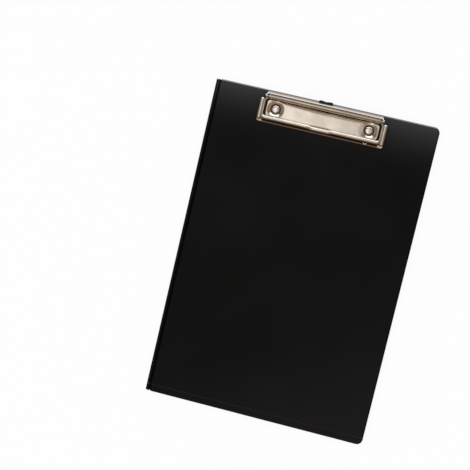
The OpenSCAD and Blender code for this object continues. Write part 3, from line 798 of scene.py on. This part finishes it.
def rear_sag(x, v):
    """The face rolls down to the rear bend: a parabola whose reach is longest near the middle."""
    reach = SAG_REACH + SAG_MORE * (1 - ((x - SAG_X) / SAG_HALF) ** 2)
    return SAG_SLOPE * reach * np.clip(1 - (v - PANEL_REAR) / reach, 0, 1) ** 2


def raised_panel():
    """Skirt, rounded bend, then the face; rows run from the foot of the skirt to the middle."""
    bend = np.radians(np.linspace(0, 90, 7))
    face = np.linspace(PANEL_BEND + 0.3, PANEL_MIDDLE, 24)
    margin = np.concatenate([[0, 0, 0], PANEL_BEND * (1 - np.cos(bend)), face])
    rise = PANEL_W - PANEL_BEND * (1 - np.sin(bend))
    height = np.concatenate([[0.05, 0.6, 1.2], rise, PANEL_W + 0 * face])
    radius = np.maximum(PANEL_CORNER - margin, 0.25)
    x, v = outlines(tray_unit, margin - PANEL_HALF, PANEL_REAR + margin, PANEL_HALF - margin,
                    PANEL_FRONT - margin, radius, radius)
    share = (height / PANEL_W)[:, None] ** 2
    w = height[:, None] - share * np.minimum(dish_depth(x, v) + rear_sag(x, v), PANEL_W - FOOT_W)
    return stack_of_outlines(x, v, w, close_first=False, wide=True)


base = new_piece("clip_base_sheet", on_clip(merged(*(outward(*sheet_metal(part, SHEET)) for part in (
    wall_and_crest(), ear(-1), ear(1), raised_panel())))))
settle(base, "board", "nickel_plate", nickel, "clip_base")

# %% [markdown]
# ## The jaw
# The jaw is a frame round the panel. Its side bars, its front bar and the lip that presses
# on the paper are one section that changes as it goes round the corner. At the sides it is a
# narrow upright bar beside a low gutter. In front it is a wider round bar that slopes down to
# the lip. A thumb recess pushes the middle of the bar forward and down. Two arched wings
# with domed ends stand on the gutters.

# %% Sections of the jaw's frame
ARM_X, TUBE_END, SIDE_BAR = 58.6, 56.25, 0.9
BAR_TOP, BAR_FOOT = 5.65, 4.6
GUTTER_W = 2.0
WING_X, WING_R, WING_FLAT = 61.6, 1.85, 0.05
WING_FOOT_W, WING_WALL_W, WING_ARCH_W = 0.35, 2.2, 3.1
WING_START, WING_END = 9.9, 27.6
BAR_V, BAR_R, BAR_CENTRE_W = 26.7, 2.0, 3.9
BAR_FRONT_SLOPE = 20
BAR_BACK_DROP = 0.9
LIP_FRONT, LIP_W, LIP_LEN, LIP_RISE = 31.15, 0.6, 1.0, 0.6
OUTER_X = 63.5
CORNER_R = 2.5
THUMB_HALF, THUMB_EASE, THUMB_PUSH, THUMB_DROP = 13.5, 6.0, 0.8, 0.8
OUTLINE_POWER = 9
EYELET_X, EYELET_V, EYELET_HOLE = 46.0, 29.1, 1.3
N_BAR, N_SLOPE, N_LIP = 26, 12, 10


def side_section():
    """Bar, outer wall and gutter at the side, as (distance out, height)."""
    bar = rounded([[0, GUTTER_W], [0, BAR_TOP], [SIDE_BAR, BAR_TOP], [SIDE_BAR, BAR_FOOT]], 0.48)
    foot = [SIDE_BAR + 0.6, GUTTER_W]
    slope = rounded([[SIDE_BAR, BAR_FOOT], [SIDE_BAR, GUTTER_W], foot], 0.35)
    gutter = np.array([foot, [OUTER_X - ARM_X, GUTTER_W]])
    return [even_steps(part, n) for part, n in zip((bar, slope, gutter), (N_BAR, N_SLOPE, N_LIP))]


def front_section():
    """Bar, front slope and lip in front, as (distance out, height)."""
    back = BAR_V - BAR_R
    bar = np.concatenate([[[0, BAR_CENTRE_W - BAR_BACK_DROP]],
                          arc((BAR_R, BAR_CENTRE_W), BAR_R, 180, BAR_FRONT_SLOPE, 20)])
    slope_end = [LIP_FRONT - LIP_LEN - back, LIP_W + LIP_RISE]
    lip = np.array([slope_end, [LIP_FRONT - back, LIP_W]])
    return [even_steps(part, n) for part, n in
            zip((bar, np.array([bar[-1], slope_end]), lip), (N_BAR, N_SLOPE, N_LIP))]


# %% The frame lofted round its corners


def frame_stations():
    """Half of the inner edge, from the rear to the middle of the front: for each station the
    centre of its ray, the ray's angle and the share of the front section."""
    v = np.linspace(WING_START, BAR_V - BAR_R - CORNER_R, 22)[:-1]
    a = np.linspace(0, 90, 19)
    x = np.linspace(ARM_X - CORNER_R, 0, 100)[1:]
    side = np.stack([ARM_X - CORNER_R + 0 * v, v, 0 * v, 0 * v], -1)
    corner_at = (ARM_X - CORNER_R + 0 * a, BAR_V - BAR_R - CORNER_R + 0 * a)
    corner = np.stack([*corner_at, a, smooth_step(a, 20, 80)], -1)
    front = np.stack([x, 0 * x + corner_at[1][0], 90 + 0 * x, 1 + 0 * x], -1)
    return np.concatenate([side, corner, front])


def jaw_frame():
    """Every section lies on a ray: at the sides it points out, in front it points forward, and
    in the corner it turns. It ends on the outline of the lip, a superellipse round the corner."""
    centre_x, centre_v, angle, share = frame_stations().T[:, :, None]
    ray = np.radians(angle)
    reach_x, reach_v = OUTER_X - (ARM_X - CORNER_R), LIP_FRONT - (BAR_V - BAR_R - CORNER_R)
    power = OUTLINE_POWER
    to_lip = ((np.cos(ray) / reach_x) ** power + (np.sin(ray) / reach_v) ** power) ** (-1 / power)
    reach = to_lip - CORNER_R
    parts = [a + share[..., None] * (b - a) for a, b in zip(side_section(), front_section())]
    parts = [parts[0], parts[1][:, 1:], parts[2][:, 1:]]
    gutter = parts[2]
    root = parts[1][:, -1:, 0].copy()
    gutter[..., 0] = root + (gutter[..., 0] - root) * (reach - root) / (gutter[:, -1:, 0] - root)
    section = np.concatenate(parts, 1)
    out, height = section[..., 0], section[..., 1]
    thumb = 1 - smooth_step(centre_x, THUMB_HALF - THUMB_EASE, THUMB_HALF)
    thumb = np.where(angle > 89, thumb, 0)
    hold = np.concatenate([np.ones(N_BAR), np.linspace(1, 0, N_SLOPE)[1:], np.zeros(N_LIP - 1)])
    out = out + THUMB_PUSH * thumb * hold
    height = height - THUMB_DROP * thumb * hold
    x = centre_x + (CORNER_R + out) * np.cos(ray)
    v = centre_v + (CORNER_R + out) * np.sin(ray)
    x = np.concatenate([x, -x[-2::-1]])
    v = np.concatenate([v, v[-2::-1]])
    w = np.concatenate([height, height[-2::-1]])
    points = np.stack([x, v, w], -1).reshape(-1, 3)
    cells = grid_cells(*x.shape)
    centre = points[cells].mean(1)
    in_hole = np.hypot(centre[:, 0] - EYELET_X, centre[:, 1] - EYELET_V) < EYELET_HOLE
    return points, cells[~in_hole]


wing_unit = unit_outline(14, 40, 1)


def wing(side):
    """An arched wing: a stadium outline that rises, then closes in as a quarter circle."""
    turn_in = np.radians(np.linspace(0, 84, 14))
    margin = np.concatenate([[0, 0, 0, 0], WING_R * (1 - np.cos(turn_in))])
    wall = np.linspace(WING_FOOT_W, WING_WALL_W, 4)
    height = np.concatenate([wall, WING_ARCH_W + WING_R * np.sin(turn_in)])
    r = WING_R - margin
    half = r + WING_FLAT
    x, v = outlines(wing_unit, WING_X - half, WING_START - r, WING_X + half, WING_END + r, r, r)
    w = height[:, None] + 0 * x
    return stack_of_outlines(side * x, v, w, close_first=False)


# %% Rolled tube and arms
TUBE_R, ROD_HOLE_R = 2.4, 1.4
SLOT_X, SLOT_HALF = 45.3, 0.75
SLOT_FROM, SLOT_TO = 172, 252
ARM_START, ARM_LOW = 1.2, 2.2


def rolled_tube():
    """The can round the rod: a profile (x, radius) turned about the hinge. Cells in the two
    slots for the springs' legs are left out."""
    end = rounded([[-TUBE_END, ROD_HOLE_R], [-TUBE_END, TUBE_R], [-TUBE_END + 2, TUBE_R]], 0.4, 6)
    slot = SLOT_X + SLOT_HALF * np.array([1, 0.33, -0.33, -1])
    mid = np.concatenate([np.linspace(-TUBE_END + 2.5, -slot[0] - 1, 6), -slot,
                          np.linspace(-slot[-1] + 1, 0, 24)])
    half = np.concatenate([end, np.stack([mid, TUBE_R + 0 * mid], -1)])
    profile = np.concatenate([half, half[-2::-1] * [-1, 1]])
    angle = np.radians(np.arange(0, 360, 5.0) + 2)
    x = profile[:, :1] + 0 * angle
    v = hinge_v + profile[:, 1:] * np.cos(angle)
    w = hinge_w + profile[:, 1:] * np.sin(angle)
    cells = grid_cells(*x.shape, wrap=True)
    points = np.stack([x, v, w], -1).reshape(-1, 3)
    centre = points[cells].mean(1)
    turn = np.degrees(np.arctan2(centre[:, 2] - hinge_w, centre[:, 1] - hinge_v)) % 360
    at_leg = np.abs(np.abs(centre[:, 0]) - SLOT_X) < SLOT_HALF
    return points, cells[~(at_leg & (turn > SLOT_FROM) & (turn < SLOT_TO))]


def arm(side):
    """A plate from the tube's end to the side bar; it bends out to meet the bar."""
    v = np.linspace(hinge_v + ARM_START, WING_START + 0.3, 24)
    up = np.linspace(0, 1, 8)[:, None]
    low = np.interp(v, [hinge_v, WING_START], [hinge_w - ARM_LOW, GUTTER_W])
    w = low + up * (BAR_TOP - 0.3 - low)
    x = TUBE_END + (ARM_X - TUBE_END) * smooth_step(v, hinge_v + ARM_START, WING_START)
    points = np.stack([side * x + 0 * w, v + 0 * w, w], -1)
    return points.reshape(-1, 3), grid_cells(*w.shape)


jaw = new_piece("clip_jaw_sheet", on_clip(merged(*(outward(*sheet_metal(part, SHEET)) for part in (
    jaw_frame(), wing(1), wing(-1), rolled_tube(), arm(-1), arm(1))))))
settle(jaw, "jaw", "nickel_plate", nickel, "clip_jaw")

# %% [markdown]
# ## Turned parts
# The rod, the rivets, their washers and the small eyelet for a pen cord are all turned or
# rolled round one axis. A profile of radius and distance is carried round that axis.

# %% Rod, rivets, washers and eyelet


def turned(profile, at, axis, n=48):
    """A closed profile (distance along the axis, radius) turned about an axis through a point.
    The profile keeps a hair off the axis, where a small strip closes it."""
    profile = np.asarray(profile, float)
    angle = 2 * np.pi * (np.arange(n) + 0.5) / n
    along = profile[:, :1] + 0 * angle
    a = profile[:, 1:] * np.cos(angle)
    b = profile[:, 1:] * np.sin(angle)
    order = {"x": (along, a, b), "w": (a, b, along)}[axis]
    x, v, w = (part + shift for part, shift in zip(order, at))
    return x, v, w


def turned_solid(profile, at, axis, n=48):
    """A turned part with a solid middle, closed across both ends."""
    return outward(*stack_of_outlines(*turned(profile, at, axis, n)))


def turned_ring(profile, at, axis, n=48):
    """A turned part with a bore: the profile runs round and meets itself."""
    x, v, w = turned(np.concatenate([profile, profile[:1]]), at, axis, n)
    return outward(*stack_of_outlines(x, v, w, close_first=False, close_last=False))


def soft_box(low, high, inner, outer, edge):
    """Profile of a ring with rounded edges."""
    return rounded([[(low + high) / 2, inner], [low, inner], [low, outer], [high, outer], [high, inner],
                    [(low + high) / 2 + 0.01, inner]], edge, 5)


rod_low, rod_high = box_mm("hinge_rod")
rod_half = (rod_high[0] - rod_low[0]) / 2
ROD_R, HEAD_R, HEAD_T, AXIS = 1.0, 1.5, 0.8, 0.02
rod_end = rounded([[-rod_half, AXIS], [-rod_half, HEAD_R], [HEAD_T - rod_half, HEAD_R],
                   [HEAD_T - rod_half, ROD_R], [HEAD_T - rod_half + 2, ROD_R]], 0.2, 5)
rod_profile = np.concatenate([rod_end, rod_end[::-1] * [-1, 1]])
rod = new_piece("hinge_rod_turned", on_clip(turned_solid(rod_profile, (0, hinge_v, hinge_w), "x")))
settle(rod, "board", "nickel_rod", nickel_rod, "hinge_rod")

DOME_R, DOME_H, DOME_POWER, SHANK_R = 4.5, 2.2, 3.0, 2.0
TAIL_R, TAIL_T, TAIL_HOLE_R, TAIL_DEPTH = 3.0, 0.35, 1.3, 1.4
rivet_low, _ = box_mm("rivet_left")
tail_w = rivet_low[2] - board_top
sweep = np.radians(np.linspace(0.5, 88, 26))
dome = np.stack([SHEET + 0.1 + (DOME_H - 0.1) * np.cos(sweep) ** (2 / DOME_POWER),
                 DOME_R * np.sin(sweep) ** (2 / DOME_POWER)], -1)
rivet_profile = np.concatenate([
    dome, [[SHEET + 0.02, DOME_R - 0.12], [SHEET + 0.02, SHANK_R], [tail_w + TAIL_T, SHANK_R]],
    rounded([[tail_w + TAIL_T, TAIL_R], [tail_w, TAIL_R], [tail_w, TAIL_HOLE_R],
             [tail_w + TAIL_DEPTH, TAIL_HOLE_R - 0.1], [tail_w + TAIL_DEPTH, AXIS]], 0.15, 5)])
WASHER_T, WASHER_R = 0.4, 4.5
back_w = box_mm("board_back_film")[0][2] - board_top
for side, word in ((-1, "left"), (1, "right")):
    at = (side * RIVET_X, RIVET_V, 0)
    rivet = new_piece(f"rivet_{word}_turned", on_clip(turned_solid(rivet_profile, at, "w")))
    settle(rivet, "board", "nickel_rod", nickel_rod, f"rivet_{word}")
    ring = soft_box(back_w - WASHER_T, back_w, SHANK_R + 0.1, WASHER_R, 0.12)
    washer = new_piece(f"washer_{word}_turned", on_clip(turned_ring(ring, at, "w")))
    settle(washer, "board", "nickel_rod", nickel_rod, f"rivet_washer_{word}")

RING_LOW, RING_TOP, RING_BORE, RING_R = 0.3, 3.3, 1.0, 1.95
ring = soft_box(RING_LOW, RING_TOP, RING_BORE, RING_R, 0.3)
eyelet = new_piece("cord_eyelet_ring", on_clip(turned_ring(ring, (EYELET_X, EYELET_V, 0), "w")))
settle(eyelet, "jaw", "nickel_rod", nickel_rod, "cord_eyelet")

# %% [markdown]
# ## The springs
# A torsion spring sits on the rod at each end of the tube: one leg stands on the foot of the
# base, seven turns of wire wind along the rod, and the other leg runs into the jaw. The wire
# is a circle carried along that path. Its frame is the direction out from the rod, so the
# circle never twists.

# %% Torsion springs
WIRE_R, SPRING_R, SPRING_TURNS, SPRING_PITCH, SPRING_LEG = 0.35, 1.5, 7, 1.2, 2.1
LEG_FOOT = -3.9
STEPS_A_TURN, WIRE_SIDES = 28, 12


def spring(side):
    """Foot leg, helix x = pitch * turn, then a leg along the rod."""
    turn = np.linspace(0, SPRING_TURNS, SPRING_TURNS * STEPS_A_TURN + 1)
    a = np.pi - 2 * np.pi * turn
    coil = np.stack([SPRING_PITCH * turn, SPRING_R * np.cos(a), SPRING_R * np.sin(a)], -1)
    leg = np.linspace(LEG_FOOT, -0.15, 8)
    first = np.stack([0 * leg, -SPRING_R + 0 * leg, leg], -1)
    run = np.linspace(0.5, SPRING_LEG, 5)
    last = np.stack([SPRING_PITCH * SPRING_TURNS + run, -SPRING_R + 0 * run, 0 * run], -1)
    path = np.concatenate([first, coil, last])
    out = np.stack([0 * path[:, 0], path[:, 1], path[:, 2]], -1)
    out[:len(first), 2] = 0
    step = np.gradient(path, axis=0)
    step /= np.linalg.norm(step, axis=1, keepdims=True)
    out -= np.einsum("ij,ij->i", out, step)[:, None] * step
    out /= np.linalg.norm(out, axis=1, keepdims=True)
    third = np.cross(step, out)
    angle = 2 * np.pi * (np.arange(WIRE_SIDES) + 0.5) / WIRE_SIDES
    ring = np.cos(angle)[:, None, None] * out + np.sin(angle)[:, None, None] * third
    points = (path + WIRE_R * ring).transpose(1, 0, 2)
    start = TUBE_END - SHEET / 2 - SPRING_LEG - 0.1 - SPRING_PITCH * SPRING_TURNS
    x = side * (start + points[..., 0])
    return outward(*stack_of_outlines(x, hinge_v + points[..., 1], hinge_w + points[..., 2]))


for side, word in ((-1, "left"), (1, "right")):
    wire = new_piece(f"spring_{word}_wire", on_clip(spring(side)))
    settle(wire, "board", "spring_steel", spring_steel, f"spring_{word}")

# %% [markdown]
# ## The hanger
# A flat black tongue slides in the channel under the panel. Pulled out, its window goes on a
# hook. Its outer end is scalloped, so two tips stand out to be gripped. The top, the walls
# and the underside are one section carried round from the window to the outer edge.

# %% Hanger
HANGER_T, HANGER_LOW, TONGUE_HALF, PROUD, TONGUE_END = 1.5, 0.15, 7.0, 1.7, 23.7
WINDOW_HALF_X, WINDOW_HALF_V, WINDOW_V = 4.0, 2.5, 4.3
SCALLOP_R, SCALLOP_DEPTH = 9.0, 0.5
HEAD_HALF, HEAD_LEN = 10.0, 1.2
EDGE = 0.2
hanger_unit = unit_outline(8, 16, 16)


def plate_with_window():
    """Outlines from the window's foot up, across the top to the outer edge, down and back."""
    window = outlines(hanger_unit, -WINDOW_HALF_X, WINDOW_V - WINDOW_HALF_V, WINDOW_HALF_X,
                      WINDOW_V + WINDOW_HALF_V, WINDOW_HALF_V, WINDOW_HALF_V)
    edge = outlines(hanger_unit, -TONGUE_HALF, -PROUD, TONGUE_HALF, TONGUE_END, 0.8, 0.8)
    x_edge, v_edge = edge[0].copy(), edge[1].copy()
    dip = np.sqrt(np.maximum(SCALLOP_R ** 2 - x_edge ** 2, 0)) - (SCALLOP_R - SCALLOP_DEPTH)
    v_edge += np.where(v_edge < 0.5, np.maximum(dip, 0), 0)
    share = np.array([0, 0, 0.02, 0.3, 0.6, 0.98, 1, 1, 0.98, 0.6, 0.3, 0.02, 0])[:, None]
    level = np.array([EDGE, HANGER_T - EDGE] + [HANGER_T] * 4 + [HANGER_T - EDGE, EDGE] + [0] * 4 + [EDGE])
    x = window[0] + share * (x_edge - window[0])
    v = window[1] + share * (v_edge - window[1])
    w = HANGER_LOW + level[:, None] + 0 * x
    return outward(*stack_of_outlines(x, v, w, close_first=False, close_last=False))


def inner_head():
    """The cross bar at the inner end, which stops the hanger at the foot of the panel."""
    margin = np.array([EDGE, 0, 0, EDGE])
    level = np.array([0, EDGE, HANGER_T - EDGE, HANGER_T])
    head_v = TONGUE_END - HEAD_LEN
    x, v = outlines(hanger_unit, margin - HEAD_HALF, head_v + margin, HEAD_HALF - margin,
                    TONGUE_END - margin, 0.4, 0.4)
    return outward(*stack_of_outlines(x, v, HANGER_LOW + level[:, None] + 0 * x))


tongue = new_piece("hanger_moulding", on_clip(merged(plate_with_window(), inner_head())))
settle(tongue, "hanger", "black_plastic", black_plastic, "hanger")

# %% [markdown]
# ## Floor and light
# The photograph has a white ground. The floor is white, lit evenly, and keeps the soft
# shadow of the clipboard. Nickel shows whatever is round it, so the room matters more than
# the lamp, and its colour is chosen by direction: pale overhead and darker to the right, grey
# walls on the left, tan and brown ones on the right and in front, and a bright window behind
# the clip, plainer and paler below. In the metal the floor shows a painted shadow: darker and
# warm as far as the board reaches, and white beyond it. One soft lamp, up to the left, makes
# the shadow. The camera itself sees the room as plain white.

# %% Floor
FLOOR_SIZE, FLOOR_DROP = 3000.0, 0.15
WHITE_SHARE = 0.9
SHADOWED_NEAR_FLOOR, FAR_FLOOR = (0.56, 0.47, 0.42, 1), (0.95, 0.97, 1.0, 1)

corners = np.array([[-1, -1, 0], [1, -1, 0], [1, 1, 0], [-1, 1, 0]]) * FLOOR_SIZE / 2
floor = new_piece("floor", (corners - [0, 0, FLOOR_DROP], np.array([[0, 1, 2, 3]])))
ground, tree, shader, position = new_finish("floor")
shader.inputs["Base Color"].default_value = (0.9, 0.9, 0.9, 1)
shader.inputs["Roughness"].default_value = 0.9
shader.inputs["Specular IOR Level"].default_value = 0.0
path = add_node(tree, "ShaderNodeLightPath")
y_of = add_node(tree, "ShaderNodeSeparateXYZ", Vector=position).outputs[1]
# the floor that the metal mirrors is darker near the board: a painted shadow
away = ramp(tree, y_of, (panel_y1 + 7) * MM, (panel_y1 + 22) * MM)
mirrored = mix_colours(tree, away, SHADOWED_NEAR_FLOOR, FAR_FLOOR)
shown = mix_colours(tree, path.outputs["Is Glossy Ray"], (1, 1, 1, 1), mirrored)
white = add_node(tree, "ShaderNodeEmission", Color=shown, Strength=1.0)
straight = math(tree, "MULTIPLY", path.outputs["Is Camera Ray"], WHITE_SHARE)
share = math(tree, "MAXIMUM", straight, path.outputs["Is Glossy Ray"])
blend = add_node(tree, "ShaderNodeMixShader", _0=share, _1=shader.outputs[0], _2=white.outputs[0])
tree.links.new(blend.outputs[0], tree.nodes["Material Output"].inputs["Surface"])
floor.data.materials.append(ground)

# %% The room, by direction
world = bpy.data.worlds.new("room")
world.use_nodes = True
bpy.context.scene.world = world
tree = world.node_tree
toward = add_node(tree, "ShaderNodeTexCoord").outputs["Generated"]
split = add_node(tree, "ShaderNodeSeparateXYZ", Vector=toward)
x_way, y_way, z_way = split.outputs

TOP_LEFT, TOP_MIDDLE, TOP_RIGHT = (1.04, 1.02, 1.0, 1), (1.5, 1.49, 1.48, 1), (0.58, 0.54, 0.51, 1)
GREY_LEFT, TAN_RIGHT = (0.26, 0.25, 0.25, 1), (0.34, 0.24, 0.16, 1)
TAN_FRONT, BROWN_FRONT = (0.42, 0.33, 0.25, 1), (0.18, 0.12, 0.08, 1)
BROWN_REAR, WINDOW = (0.22, 0.16, 0.12, 1), (1.8, 1.92, 2.08, 1)
UNDER_WINDOW = (1.2, 1.2, 1.21, 1)
SEEN_BY_DULL = (0.92, 0.92, 0.92, 1)

overhead = mix_colours(tree, ramp(tree, x_way, -0.06, -0.015), TOP_LEFT, TOP_MIDDLE)
overhead = mix_colours(tree, ramp(tree, x_way, -0.03, 0.04), overhead, TOP_RIGHT)
sides = mix_colours(tree, ramp(tree, x_way, -0.3, 0.3), GREY_LEFT, TAN_RIGHT)
front = mix_colours(tree, ramp(tree, z_way, 0.55, 0.9), BROWN_FRONT, TAN_FRONT)
walls = mix_colours(tree, ramp(tree, y_way, -0.15, -0.4), sides, front)
walls = mix_colours(tree, ramp(tree, y_way, 0.15, 0.4), walls, BROWN_REAR)
room = mix_colours(tree, ramp(tree, z_way, 0.87, 0.99), walls, overhead)
rear = mix_colours(tree, ramp(tree, z_way, 0.2, 0.36), UNDER_WINDOW, WINDOW)
room = mix_colours(tree, ramp(tree, y_way, 0.55, 0.64), room, rear)

path = add_node(tree, "ShaderNodeLightPath")
seen = mix_colours(tree, path.outputs["Is Glossy Ray"], SEEN_BY_DULL, room)
seen = mix_colours(tree, path.outputs["Is Camera Ray"], seen, (1, 1, 1, 1))
background = tree.nodes["Background"]
tree.links.new(seen, background.inputs["Color"])
background.inputs["Strength"].default_value = 1.0

# %% Soft lamp for the shadows
lamp = bpy.data.lights.new("soft lamp", "SUN")
lamp.energy = 0.25
lamp.angle = np.radians(50)
lamp_object = bpy.data.objects.new("soft lamp", lamp)
lamp_object.rotation_euler = Vector((-0.35, 0.3, 0.9)).to_track_quat("Z", "Y").to_euler()
bpy.context.scene.collection.objects.link(lamp_object)
lamp_object.visible_glossy = False

bpy.context.scene.view_settings.view_transform = "Standard"
